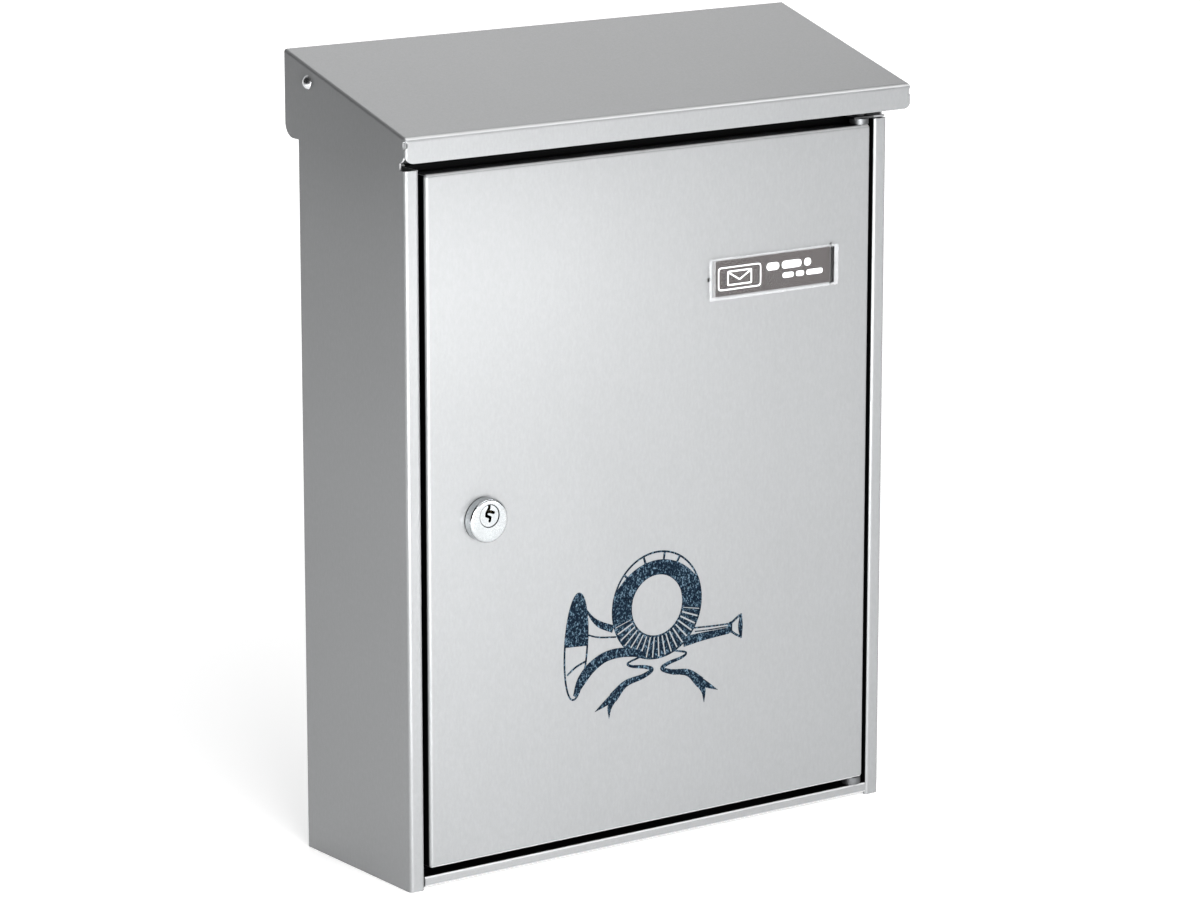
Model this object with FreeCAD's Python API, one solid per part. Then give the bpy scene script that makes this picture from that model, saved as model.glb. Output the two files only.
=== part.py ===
import FreeCAD, Part
import math
import os

V = FreeCAD.Vector

# Wall letter box of folded sheet steel: a casing on the wall, a side-hung door with a cam lock,
# and a sloping lid that lifts for the post. Sizes are in millimetres.
# X runs to the right, Y into the wall and Z up. The origin is on the wall, in the middle of the
# four wall holes.

# Sheet and folds
sheet = 0.8                 # thickness of every folded panel
bend = 1.5                  # outer radius of a fold
seam = 0.2                  # gap left where two folded edges meet
fit_gap = 0.1               # gap between parts that are pushed or welded together
running = 0.05              # radial clearance of everything that turns on a pin
end_play = 0.1              # axial clearance of everything that turns on a pin
safe_gap = 0.35             # least gap between parts that pass or rest near each other

# Casing
case_width = 240.0
case_depth = 78.0           # front flange to back panel
case_height = 292.5         # underside to the top ends of the front flanges
flange_width = 6.9          # front flange at each side of the doorway
return_depth = 11.0         # inward fold along each flange
side_step = 3.5             # set-back of the side panels above the flanges
side_step_round = 3.0

# Bottom tray
tray_lift = 1.0             # tray above the lower ends of the side panels
tray_flange = 4.6           # height of its front flange
tray_shelf = 9.0            # fold behind the flange, which carries the lower hinge
tray_tab = 10.0             # upturned edges welded to the sides and the back
drain_radius = 2.5
drain_pitch = 70.0

# Wall holes
wall_hole_radius = 3.5
hole_side_inset = 40.0      # hole centre to the side of the casing
hole_low_inset = 60.0       # hole centre to the underside
hole_top_inset = 32.5       # hole centre to the top of the front flanges
dimple_flat = 9.0           # radius of the flat ring that touches the wall
dimple_foot = 14.0          # radius where the pressed cone meets the back panel
wall_clearance = 0.5        # least gap between the swinging lid and the wall

# Lid
lid_side_overhang = 5.5
lid_front_overhang = 9.0
lid_raise = 4.5             # lower edge above the top of the front flanges
lid_lip = 10.0              # height of the front lip
lid_rear = 35.2             # height at the back
lid_front_bend = 2.0
lid_side_bend = 1.2
lid_front_corner = 4.0
lid_rear_corner = 6.0
lid_notch = 0.8             # radius of the relief notch at the top of each corner seam
lid_swing = 65.0            # degrees that the lid lifts
lid_stop_spare = 2.5        # degrees more before it meets the back of the casing

# Lid pivots
pivot_inset = 17.0          # pivot to the back panel
pivot_drop = 5.45           # pivot to the underside of the lid top
rivet_radius = 1.6
rivet_head_radius = 2.9
rivet_head_height = 1.7
rivet_tail_radius = 2.6
rivet_tail_height = 1.2
spacer_radius = 3.5
washer_radius = 4.2
washer_thick = 0.8

# Door
door_side_gap = 2.2
door_low_gap = 3.0
door_drop = 1.9             # top of the door below the top of the flanges
door_proud = 0.65
door_fold = 9.0             # depth of the folded edges
door_seam_start = 2.5       # corner seams begin this far behind the face

# Hinge
hinge_inset = 3.0           # axis to the door's edge
hinge_setback = 3.5         # axis behind the front of the flanges
pin_radius = 1.75
pin_reach = 5.0             # pin inside the door
pin_head_radius = 2.6       # peened end behind the shelf
pin_head_height = 1.2
bush_radius = 4.0
upper_bush = 2.4            # height of the upper bush

# Top rail
rail_gap = 1.25             # apron behind the folded edge of the door
rail_depth = 9.7
rail_lip = 7.0              # upturned rear edge
rail_web = 8.4              # apron behind the top of the door
rail_tab = 9.0              # end tabs welded to the sides
lug_width = 16.0            # lug that carries the upper hinge pin
lug_front = 0.6             # lug behind the front of the flanges

# Lock
lock_inset = 26.4           # axis to the door's left edge
lock_head_radius = 9.0
lock_head_height = 4.65
lock_head_round = 1.1
barrel_radius = 8.0
barrel_flat = 7.0           # half of the width across the flats
plug_radius = 4.6
plug_rise = 2.0             # plug's axis above the axis of the head and barrel
plug_recess = 0.3
lock_washer_radius = 11.0
lock_washer_thick = 0.8
lock_nut_flats = 21.0
lock_nut_thick = 3.0
tail_half = 3.1             # half of the plug's square tail
stop_thick = 1.0
stop_radius = 4.9
stop_tab_reach = 6.8
stop_tab_half = 1.5
lock_turn = 90.0            # degrees from open to locked
stop_spare = 3.0            # degrees of slack at each end of the turn
cam_gap = 1.4               # cam behind the inward fold of the casing
cam_thick = 2.0
cam_catch = 4.4             # how far the cam reaches past the fold
cam_hub_radius = 7.5
cam_tip_half = 5.5
cam_tip_round = 2.0
cam_screw_radius = 2.0
cam_screw_length = 7.0
cam_screw_head_radius = 3.8
cam_screw_head_height = 2.4
cam_screw_head_round = 0.8
cam_screw_slot = 1.0
cam_screw_slot_depth = 1.2
spring_washer_radius = 3.6
spring_washer_thick = 1.0

# Keyway and wafers: path points are X and Z from the plug's axis
keyway = [(0.1, 5.2), (0.0, 3.2), (-1.3, 1.3), (-1.4, 0.2), (0.5, -0.7), (0.2, -2.1)]
keyway_branch = [(-0.9, 1.9), (0.8, 1.6), (2.1, 1.1)]
keyway_width = 1.25
keyway_depth = 10.0
wafer_count = 5
wafer_pitch = 1.6
wafer_thick = 0.8
wafer_half_width = 3.1
wafer_half_height = 3.3
wafer_window = (-2.2, 2.3, -2.3, 2.4)       # left, right, lower and upper edge
wafer_groove = 0.4          # grooves in the housing beyond the plug
wafer_start = 2.2           # first wafer behind the plug's face

# Name plate
plate_length = 67.0
plate_height = 17.5
plate_thick = 2.2
plate_side_inset = 17.9     # plate to the door's right edge
plate_top_inset = 47.85     # plate to the door's top edge
plate_corner = 1.2
plate_edge = 0.4
plate_rim = 1.1             # raised rim above and below the window
plate_left_rim = 3.0
plate_right_rim = 2.2
plate_sink = 0.7            # window below the rim
plate_pocket = 0.6          # room for the label
plate_slot = 0.9            # slot that the label is pushed through
label_thick = 0.4
peg_radius = 0.9
peg_inset = 1.3
peg_length = 3.0
clip_radius = 2.6
clip_thick = 0.5

# Places that follow from the sizes above
lid_length = case_depth + lid_front_overhang
slope = math.atan((lid_rear - lid_lip) / lid_length)
pivot_below_corner = (pivot_drop + sheet) / math.cos(slope) + pivot_inset * math.tan(slope)
lid_corner_reach = math.hypot(pivot_inset, pivot_below_corner) - pivot_inset
standoff = math.ceil(10.0 * (lid_corner_reach + wall_clearance)) / 10.0
half_width = case_width / 2.0
half_inside = half_width - sheet
half_doorway = half_width - flange_width
half_door = half_doorway - door_side_gap
back_y = -standoff
front_y = back_y - case_depth
hole_rise = case_height - hole_low_inset - hole_top_inset
bottom_z = -hole_rise / 2.0 - hole_low_inset
flange_top = bottom_z + case_height
tray_z = bottom_z + tray_lift
tray_top = tray_z + tray_flange
door_bottom = tray_top + door_low_gap
door_top = flange_top - door_drop
door_front = front_y - door_proud
door_inner = door_front + sheet
rail_z = door_top + upper_bush
rail_y = door_front + door_fold + rail_gap
hinge = V(half_door - hinge_inset, front_y + hinge_setback, 0.0)
half_lid = half_width + lid_side_overhang
lid_low = flange_top + lid_raise
lid_front = front_y - lid_front_overhang
lid_top = lid_low + lid_rear
pivot_y = back_y - pivot_inset
pivot_z = lid_top - pivot_below_corner
lock_x = -half_door + lock_inset
lock_body_z = (door_bottom + door_top) / 2.0
lock_z = lock_body_z + plug_rise
cam_front = front_y + return_depth + cam_gap
stop_front = cam_front - stop_thick
barrel_end = stop_front - end_play
head_front = door_front - lock_head_height
plug_front = head_front + plug_recess
plate_x = half_door - plate_side_inset - plate_length / 2.0
plate_z = door_top - plate_top_inset - plate_height / 2.0


def box(x0, x1, y0, y1, z0, z1):
    """Box between two corners."""
    return Part.makeBox(x1 - x0, y1 - y0, z1 - z0, V(x0, y0, z0))


def rod(radius, start, end):
    """Cylinder from one point to another."""
    return Part.makeCylinder(radius, (end - start).Length, start, end - start)


def tube(outer, inner, start, end):
    """Hollow cylinder from one point to another."""
    return rod(outer, start, end).cut(rod(inner, start, end))


def rounded_wire(points, radii):
    """Closed outline through the points, each corner rounded by its own radius."""
    runs = []
    arcs = []
    for i, here in enumerate(points):
        to_last = (points[i - 1] - here).normalize()
        to_next = (points[(i + 1) % len(points)] - here).normalize()
        half_angle = to_last.getAngle(to_next) / 2.0
        reach = radii[i] / math.tan(half_angle)
        middle = (to_last + to_next).normalize()
        depth = radii[i] / math.sin(half_angle) - radii[i]
        start, end = here + to_last * reach, here + to_next * reach
        runs.append((start, end))
        arcs.append(Part.Arc(start, here + middle * depth, end).toShape() if radii[i] else None)
    edges = []
    for i, arc in enumerate(arcs):
        if arc:
            edges.append(arc)
        edges.append(Part.makeLine(runs[i][1], runs[(i + 1) % len(runs)][0]))
    return Part.Wire(edges)


def prism(points, radii, sweep):
    """Prism on a rounded outline."""
    return Part.Face(rounded_wire(points, radii)).extrude(sweep)


def folded(path, radius, sweep):
    """Folded sheet. The path runs along one face and the metal lies to its right, seen with
    the sweep pointing at the eye. The radius is that of the outer side of each fold."""
    up = V(sweep).normalize()
    ways = [(b - a).normalize() for a, b in zip(path, path[1:])]
    rights = [way.cross(up) for way in ways]
    far_side = [path[0] + rights[0] * sheet]
    path_radii = [0.0]
    far_radii = [0.0]
    for i in range(1, len(ways)):
        both = rights[i - 1] + rights[i]
        far_side.append(path[i] + both * (sheet / (1.0 + rights[i - 1].dot(rights[i]))))
        turns_right = ways[i - 1].cross(ways[i]).dot(up) < 0
        path_radii.append(radius if turns_right else radius - sheet)
        far_radii.append(radius - sheet if turns_right else radius)
    far_side.append(path[-1] + rights[-1] * sheet)
    path_radii.append(0.0)
    far_radii.append(0.0)
    return prism(path + far_side[::-1], path_radii + far_radii[::-1], sweep)


def edges_where(shape, test):
    """Edges that pass the test at both ends and in the middle."""
    return [edge for edge in shape.Edges if all(test(p) for p in edge.discretize(3))]


def near(a, b):
    return abs(a - b) < 1e-4


def mirror_x(shape):
    return shape.mirror(V(0, 0, 0), V(1, 0, 0))


def both_sides(shape):
    """The shape and its mirror image across the middle."""
    return [shape, mirror_x(shape)]


def wall_hole_places():
    x = half_width - hole_side_inset
    z = hole_rise / 2.0
    return [V(sx * x, 0.0, sz * z) for sx in (-1, 1) for sz in (-1, 1)]


def side_profile():
    """Side view of the casing: its top edge follows the lid and rounds the pivot, and its
    rear slope is where the open lid comes to rest."""
    ear = pivot_drop - safe_gap
    open_tilt = math.radians(lid_swing + lid_stop_spare) - slope
    front_edge = front_y + side_step
    run = front_edge - pivot_y
    step_top = pivot_z + (ear + run * math.sin(slope)) / math.cos(slope)
    back_top = pivot_z + (ear - pivot_inset * math.sin(open_tilt)) / math.cos(open_tilt)
    half_fan = (slope + open_tilt) / 2.0
    peak_turn = (open_tilt - slope) / 2.0
    peak_reach = ear / math.cos(half_fan)
    peak_y = pivot_y + peak_reach * math.sin(peak_turn)
    peak_z = pivot_z + peak_reach * math.cos(peak_turn)
    outline = [(front_y, bottom_z), (front_y, flange_top), (front_edge, flange_top),
               (front_edge, step_top), (peak_y, peak_z), (back_y, back_top), (back_y, bottom_z)]
    radii = [0, 0, 0, side_step_round, ear, 0, 0]
    points = [V(-half_width, y, z) for y, z in outline]
    return prism(points, radii, V(case_width, 0, 0))


def casing_wrap():
    """Back, sides, front flanges and their inward folds, from one sheet."""
    fold_y = front_y + return_depth
    path = [V(-half_doorway, fold_y, bottom_z), V(-half_doorway, front_y, bottom_z),
            V(-half_width, front_y, bottom_z), V(-half_width, back_y, bottom_z),
            V(half_width, back_y, bottom_z), V(half_width, front_y, bottom_z),
            V(half_doorway, front_y, bottom_z), V(half_doorway, fold_y, bottom_z)]
    wrap = folded(path, bend, V(0, 0, lid_top - bottom_z)).common(side_profile())
    fold_room = half_inside - bend
    above_folds = box(-fold_room, fold_room, front_y, fold_y + sheet, flange_top, lid_top)
    below_folds = box(-fold_room, fold_room, front_y + bend, fold_y + sheet,
                      bottom_z, tray_z + sheet + fit_gap)
    wrap = wrap.cut(above_folds).cut(below_folds)
    for place in wall_hole_places():
        foot = V(place.x, back_y, place.z)
        cone = Part.makeCone(dimple_foot, dimple_flat, standoff, foot, V(0, 1, 0))
        hollow = Part.makeCone(dimple_foot, dimple_flat, standoff, foot - V(0, sheet, 0), V(0, 1, 0))
        wrap = wrap.fuse(cone).cut(hollow)
        wrap = wrap.cut(rod(wall_hole_radius, place - V(0, 2 * sheet, 0), place + V(0, sheet, 0)))
    pivot_line = rod(rivet_radius, V(-half_lid, pivot_y, pivot_z), V(half_lid, pivot_y, pivot_z))
    return wrap.cut(pivot_line).removeSplitter()


def bottom_tray():
    """Floor of the casing, with its front flange and the shelf of the lower hinge."""
    back_inside = back_y - sheet
    outline = [(back_inside, tray_z + tray_tab), (back_inside, tray_z), (front_y, tray_z),
               (front_y, tray_top), (front_y + tray_shelf, tray_top)]
    path = [V(-half_inside, y, z) for y, z in outline]
    tray = folded(path, bend, V(2 * half_inside, 0, 0))
    notch_x = half_doorway - fit_gap
    floor_y = front_y + bend + fit_gap
    fold_end = front_y + return_depth + fit_gap
    tab_top = tray_z + tray_tab
    for notch in (box(notch_x, half_width, front_y, fold_end, tray_z + sheet, tab_top),
                  box(notch_x, half_width, front_y, floor_y, tray_z, tab_top),
                  box(half_inside - bend, half_inside, back_inside - bend, back_y, tray_z, tab_top)):
        for cut in both_sides(notch):
            tray = tray.cut(cut)
    tab = box(half_inside - sheet, half_inside, floor_y, back_inside - bend, tray_z, tab_top)
    for side in both_sides(tab):
        tray = tray.fuse(side)
    for i in (-1, 0, 1):
        place = V(i * drain_pitch, (front_y + back_y) / 2.0, tray_z)
        tray = tray.cut(rod(drain_radius, place - V(0, 0, sheet), place + V(0, 0, 2 * sheet)))
    pin = V(hinge.x, hinge.y, tray_top)
    return tray.cut(rod(pin_radius, pin - V(0, 0, 2 * sheet), pin)).removeSplitter()


def top_rail():
    """Rail across the top of the doorway, with an apron behind the door and a hinge lug."""
    web_half = half_doorway - fit_gap
    rear_y = rail_y + rail_depth
    shelf_top = rail_z + sheet
    outline = [(rail_y, rail_z - rail_web), (rail_y, shelf_top), (rear_y - sheet, shelf_top),
               (rear_y - sheet, shelf_top + rail_lip)]
    path = [V(-half_inside, y, z) for y, z in outline]
    rail = folded(path, bend, V(2 * half_inside, 0, 0))
    for end in both_sides(box(web_half, half_width, rail_y, rail_y + sheet + bend,
                              rail_z - rail_web, rail_z)):
        rail = rail.cut(end)
    tab = box(half_inside - sheet, half_inside, rail_y + bend, rear_y, rail_z, shelf_top + rail_tab)
    for side in both_sides(tab):
        rail = rail.fuse(side)
    lug = box(half_inside - lug_width, half_inside, front_y + lug_front, rail_y + bend,
              rail_z, shelf_top)
    rail = rail.fuse(lug)
    pin = V(hinge.x, hinge.y, rail_z)
    return rail.cut(rod(pin_radius, pin, pin + V(0, 0, sheet))).removeSplitter()


def hinge_pin(seat_z, way):
    """Pin riveted in a shelf at seat_z. It runs through the bush into the door; way is 1 for
    up and -1 for down."""
    gap = door_low_gap if way > 0 else upper_bush
    seat = V(hinge.x, hinge.y, seat_z)
    back = seat - V(0, 0, way * sheet)
    tip = seat + V(0, 0, way * (gap + sheet + pin_reach))
    head = Part.makeCone(pin_radius, pin_head_radius, pin_head_height, back, V(0, 0, -way))
    return rod(pin_radius, back, tip).fuse(head).removeSplitter()


def hinge_bush(seat_z, way):
    """Spacer between a shelf and the door."""
    gap = door_low_gap if way > 0 else upper_bush
    seat = V(hinge.x, hinge.y, seat_z)
    return tube(bush_radius, pin_radius + running, seat, seat + V(0, 0, way * (gap - end_play)))


def door_panel():
    """Flat pan with its four edges folded back."""
    def pan(inset, radius):
        shell = box(-half_door + inset, half_door - inset, door_front + inset,
                    door_front + door_fold + 2 * inset, door_bottom + inset, door_top - inset)
        back_edge = shell.BoundBox.YMax
        rounded = [edge for edge in shell.Edges
                   if not all(near(p.y, back_edge) for p in edge.discretize(3))]
        return shell.makeFillet(radius, rounded)
    door = pan(0.0, bend).cut(pan(sheet, bend - sheet))
    for x, z, turn in corner_seams():
        cut = box(-2 * bend, 2 * bend, door_front + door_seam_start, door_front + door_fold,
                  -seam / 2.0, seam / 2.0)
        cut.rotate(V(0, 0, 0), V(0, 1, 0), turn)
        cut.translate(V(x, 0, z))
        door = door.cut(cut)
    for z in (door_bottom, door_top):
        pin = V(hinge.x, hinge.y, z)
        door = door.cut(rod(pin_radius + running, pin - V(0, 0, 2 * sheet), pin + V(0, 0, 2 * sheet)))
    door = door.cut(barrel(barrel_radius + fit_gap, barrel_flat + fit_gap, door_front, door_inner))
    for x in peg_places():
        door = door.cut(rod(peg_radius, V(x, door_front, plate_z), V(x, door_inner, plate_z)))
    return door


def corner_seams():
    """Places and turns of the four corner seams of the door."""
    return [(sx * half_door, z, 45.0 * sx * sz)
            for sx in (-1, 1) for sz, z in ((1, door_bottom), (-1, door_top))]


def lock_rod(radius, y0, y1):
    """Cylinder on the plug's axis."""
    return rod(radius, V(lock_x, y0, lock_z), V(lock_x, y1, lock_z))


def lock_body_rod(radius, y0, y1):
    """Cylinder on the axis of the lock's head and barrel."""
    return rod(radius, V(lock_x, y0, lock_body_z), V(lock_x, y1, lock_body_z))


def barrel(radius, half_flat, y0, y1):
    """Cylinder on the axis of the lock's body with a flat at each side."""
    slab = box(lock_x - half_flat, lock_x + half_flat, y0, y1,
               lock_body_z - radius, lock_body_z + radius)
    return lock_body_rod(radius, y0, y1).common(slab)


def lock_sector(radius, y0, y1, start, end):
    """Wedge on the plug's axis between two angles in degrees, from +X towards +Z."""
    steps = 6
    rim = [math.radians(start + (end - start) * i / steps) for i in range(steps + 1)]
    points = [V(lock_x, y0, lock_z)]
    points += [V(lock_x + radius * math.cos(a), y0, lock_z + radius * math.sin(a)) for a in rim]
    return prism(points, [0.0] * len(points), V(0, y1 - y0, 0))


def lock_housing():
    """Round head, threaded barrel with flats, and the stop ridge at its rear."""
    head = lock_body_rod(lock_head_radius, head_front, door_front)
    head = head.makeFillet(lock_head_round, edges_where(head, lambda p: near(p.y, head_front)))
    body = head.fuse(barrel(barrel_radius, barrel_flat, door_front, barrel_end))
    ridge_end = cam_front - safe_gap
    ridge = barrel(barrel_radius, barrel_flat, barrel_end, ridge_end)
    ridge = ridge.cut(lock_rod(stop_radius + running + fit_gap, barrel_end, ridge_end))
    tab_angle = math.degrees(math.asin(stop_tab_half / stop_radius)) + stop_spare
    ridge = ridge.cut(lock_sector(2 * barrel_radius, barrel_end, ridge_end,
                                  -90.0 - lock_turn - tab_angle, -90.0 + tab_angle))
    body = body.fuse(ridge)
    body = body.cut(lock_rod(plug_radius + running, head_front, barrel_end))
    groove_end = plug_radius + wafer_groove
    grooves = box(lock_x - wafer_half_width - fit_gap, lock_x + wafer_half_width + fit_gap,
                  plug_front + wafer_start, plug_front + wafer_start + wafer_count * wafer_pitch,
                  lock_z - groove_end, lock_z + groove_end)
    return body.cut(grooves).removeSplitter()


def lock_washer():
    washer = lock_body_rod(lock_washer_radius, door_inner, door_inner + lock_washer_thick)
    return washer.cut(barrel(barrel_radius + fit_gap, barrel_flat + fit_gap,
                             door_inner, door_inner + lock_washer_thick))


def lock_nut():
    """Hexagon nut that clamps the lock to the door."""
    y = door_inner + lock_washer_thick
    reach = lock_nut_flats / math.sqrt(3.0)
    angles = [math.radians(60.0 * i) for i in range(6)]
    points = [V(lock_x + reach * math.cos(a), y, lock_body_z + reach * math.sin(a))
              for a in angles]
    nut = prism(points, [0.0] * 6, V(0, lock_nut_thick, 0))
    return nut.cut(lock_body_rod(barrel_radius + running, y, y + lock_nut_thick))


def keyway_cut():
    """Zigzag slot for the key: a row of short bars with round joints."""
    cuts = []
    for path in (keyway, keyway_branch):
        joints = [V(lock_x + x, plug_front, lock_z + z) for x, z in path]
        for a, b in zip(joints, joints[1:]):
            across = (b - a).normalize().cross(V(0, 1, 0)) * (keyway_width / 2.0)
            cuts.append(prism([a + across, b + across, b - across, a - across], [0.0] * 4,
                              V(0, keyway_depth, 0)))
        for joint in joints[1:]:
            cuts.append(rod(keyway_width / 2.0, joint, joint + V(0, keyway_depth, 0)))
    return cuts[0].multiFuse(cuts[1:])


def wafer_places():
    first = plug_front + wafer_start
    return [first + i * wafer_pitch for i in range(wafer_count)]


def lock_plug():
    """Turning core with its keyway, wafer slots and square tail."""
    plug = lock_rod(plug_radius, plug_front, stop_front)
    tail_end = cam_front + cam_thick - fit_gap
    plug = plug.fuse(box(lock_x - tail_half, lock_x + tail_half, stop_front, tail_end,
                         lock_z - tail_half, lock_z + tail_half))
    plug = plug.cut(keyway_cut())
    for y in wafer_places():
        plug = plug.cut(box(lock_x - wafer_half_width, lock_x + wafer_half_width,
                            y, y + wafer_thick + fit_gap,
                            lock_z - 2 * plug_radius, lock_z + 2 * plug_radius))
    screw_hole = lock_rod(cam_screw_radius, tail_end - cam_screw_length, tail_end)
    return plug.cut(screw_hole).removeSplitter()


def lock_wafers():
    """Spring-loaded plates, shown level with the plug as the right key sets them."""
    wafers = []
    half = wafer_half_width - running
    left, right, low, high = wafer_window
    for y in wafer_places():
        plate = box(lock_x - half, lock_x + half, y, y + wafer_thick,
                    lock_z - wafer_half_height, lock_z + wafer_half_height)
        window = box(lock_x + left, lock_x + right, y, y + wafer_thick,
                     lock_z + low, lock_z + high)
        wafers.append(plate.cut(window))
    return Part.makeCompound(wafers)


def square_hole(y0, y1):
    half = tail_half + running
    return box(lock_x - half, lock_x + half, y0, y1, lock_z - half, lock_z + half)


def cam_stop_washer():
    """Washer on the plug's tail. Its tab turns between the ends of the housing's ridge."""
    washer = lock_rod(stop_radius, stop_front, cam_front)
    tab = box(lock_x - stop_tab_half, lock_x + stop_tab_half, stop_front, cam_front,
              lock_z - stop_tab_reach, lock_z)
    return washer.fuse(tab).cut(square_hole(stop_front, cam_front)).removeSplitter()


def lock_cam():
    """Flat tongue. It hangs down when the lock is open and turns behind the left fold."""
    length = (lock_x + half_doorway) + cam_catch
    cam_back = cam_front + cam_thick
    hub = lock_rod(cam_hub_radius, cam_front, cam_back)
    tip = lock_z - length
    outline = [(-cam_hub_radius, 0.0), (cam_hub_radius, 0.0), (cam_tip_half, tip - lock_z),
               (-cam_tip_half, tip - lock_z)]
    points = [V(lock_x + x, cam_front, lock_z + z) for x, z in outline]
    tongue = prism(points, [0.0, 0.0, cam_tip_round, cam_tip_round], V(0, cam_thick, 0))
    return hub.fuse(tongue).cut(square_hole(cam_front, cam_back)).removeSplitter()


def cam_spring_washer():
    y = cam_front + cam_thick
    washer = lock_rod(spring_washer_radius, y, y + spring_washer_thick)
    return washer.cut(lock_rod(cam_screw_radius + fit_gap, y, y + spring_washer_thick))


def cam_screw():
    """Slotted screw that holds the cam on the plug."""
    seat = cam_front + cam_thick + spring_washer_thick
    head_end = seat + cam_screw_head_height
    head = lock_rod(cam_screw_head_radius, seat, head_end)
    head = head.makeFillet(cam_screw_head_round, edges_where(head, lambda p: near(p.y, head_end)))
    shank_start = cam_front + cam_thick - fit_gap - cam_screw_length
    screw = head.fuse(lock_rod(cam_screw_radius, shank_start, seat))
    slot = box(lock_x - cam_screw_head_radius, lock_x + cam_screw_head_radius,
               head_end - cam_screw_slot_depth, head_end,
               lock_z - cam_screw_slot / 2.0, lock_z + cam_screw_slot / 2.0)
    return screw.cut(slot).removeSplitter()


def peg_places():
    reach = plate_length / 2.0 - peg_inset
    return [plate_x - reach, plate_x + reach]


def plate_window(rim, left, right, y0, y1):
    """Box inside the name plate's rims."""
    return box(plate_x - plate_length / 2.0 + left, plate_x + plate_length / 2.0 - right, y0, y1,
               plate_z - plate_height / 2.0 + rim, plate_z + plate_height / 2.0 - rim)


def name_plate_cover():
    """Clear cover with a raised rim, a pocket for the label and a slot at its right end."""
    face = door_front - plate_thick
    cover = plate_window(0.0, 0.0, 0.0, face, door_front)
    corners = edges_where(cover, lambda p: near(abs(p.x - plate_x), plate_length / 2.0)
                          and near(abs(p.z - plate_z), plate_height / 2.0))
    cover = cover.makeFillet(plate_corner, corners)
    cover = cover.makeFillet(plate_edge, edges_where(cover, lambda p: near(p.y, face)))
    cover = cover.cut(plate_window(plate_rim, plate_left_rim, plate_right_rim,
                                   face, face + plate_sink))
    cover = cover.cut(plate_window(plate_rim, plate_left_rim, plate_right_rim,
                                   door_front - plate_pocket, door_front))
    slot_left = plate_length - plate_right_rim - plate_slot
    cover = cover.cut(plate_window(plate_rim, slot_left, plate_right_rim, face, door_front))
    for x in peg_places():
        peg = rod(peg_radius, V(x, door_front - sheet, plate_z),
                  V(x, door_front + peg_length, plate_z))
        cover = cover.fuse(peg)
    return cover.removeSplitter()


def name_label():
    """Printed card behind the window."""
    side = fit_gap
    return plate_window(plate_rim + side, plate_left_rim + side,
                        plate_right_rim + plate_slot + side, door_front - label_thick, door_front)


def name_plate_clips():
    """Push-on rings that hold the name plate's pegs behind the door."""
    return Part.makeCompound([tube(clip_radius, peg_radius, V(x, door_inner, plate_z),
                                   V(x, door_inner + clip_thick, plate_z)) for x in peg_places()])


def lid_block(inset, front_radius, side_radius):
    """Solid wedge of the lid's outer shape, moved in by inset and open below and behind."""
    half = half_lid - inset
    drop = inset / math.cos(slope)
    front = lid_front + inset
    rear = back_y + inset
    low = lid_low - inset
    lip_top = lid_low + lid_lip - drop + inset * math.tan(slope)
    rear_top = lid_top - drop + inset * math.tan(slope)
    outline = [(front, low), (front, lip_top), (rear, rear_top), (rear, low)]
    points = [V(-half, y, z) for y, z in outline]
    block = prism(points, [0.0, front_radius, 0.0, 0.0], V(2 * half, 0, 0))
    rounded = edges_where(block, lambda p: near(abs(p.x), half))
    rounded = [edge for edge in rounded
               if not all(near(p.z, low) for p in edge.discretize(3))
               and not all(near(p.y, rear) for p in edge.discretize(3))]
    return block.makeFillet(side_radius, rounded)


def corner_waste(corner, along_a, along_b, radius, sweep):
    """What a rounded corner loses: the square at the corner less a quarter disc."""
    a = corner + along_a * radius
    b = corner + along_b * radius
    centre = a + along_b * radius
    middle = centre - (along_a + along_b) * (radius / math.sqrt(2.0))
    wire = Part.Wire([Part.makeLine(corner, a), Part.Arc(a, middle, b).toShape(),
                      Part.makeLine(b, corner)])
    return Part.Face(wire).extrude(sweep)


def lid_panel():
    """Sloping top with a front lip and two sides, folded from one sheet."""
    lid = lid_block(0.0, lid_front_bend, lid_side_bend)
    lid = lid.cut(lid_block(sheet, lid_front_bend - sheet, lid_side_bend - sheet))
    side_start = half_lid - lid_side_bend
    thick_x = V(lid_side_bend, 0, 0)
    seam_y = lid_front + sheet
    rear_low = corner_waste(V(side_start, back_y, lid_low), V(0, -1, 0), V(0, 0, 1),
                            lid_rear_corner, thick_x)
    front_low = corner_waste(V(side_start, seam_y, lid_low), V(0, 1, 0), V(0, 0, 1),
                             lid_front_corner, thick_x)
    lip_low = corner_waste(V(half_lid, lid_front, lid_low), V(-1, 0, 0), V(0, 0, 1),
                           lid_front_corner, V(0, sheet, 0))
    notch_top = lid_low + lid_lip - lid_front_bend
    notch_low = notch_top - 2 * lid_notch
    split = box(side_start, half_lid, seam_y, seam_y + seam, lid_low, notch_low)
    round_low = rod(lid_notch, V(side_start, seam_y, notch_low), V(half_lid, seam_y, notch_low))
    round_top = rod(lid_notch, V(side_start, seam_y, notch_top), V(half_lid, seam_y, notch_top))
    notch = box(side_start, half_lid, seam_y - lid_notch, seam_y + lid_notch, notch_low, notch_top)
    for tool in (rear_low, front_low, lip_low, split, round_low, round_top, notch):
        for cut in both_sides(tool):
            lid = lid.cut(cut)
    pivot_line = rod(rivet_radius + running, V(-half_lid, pivot_y, pivot_z),
                     V(half_lid, pivot_y, pivot_z))
    return lid.cut(pivot_line).removeSplitter()


def pivot_point(x):
    return V(x, pivot_y, pivot_z)


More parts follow.
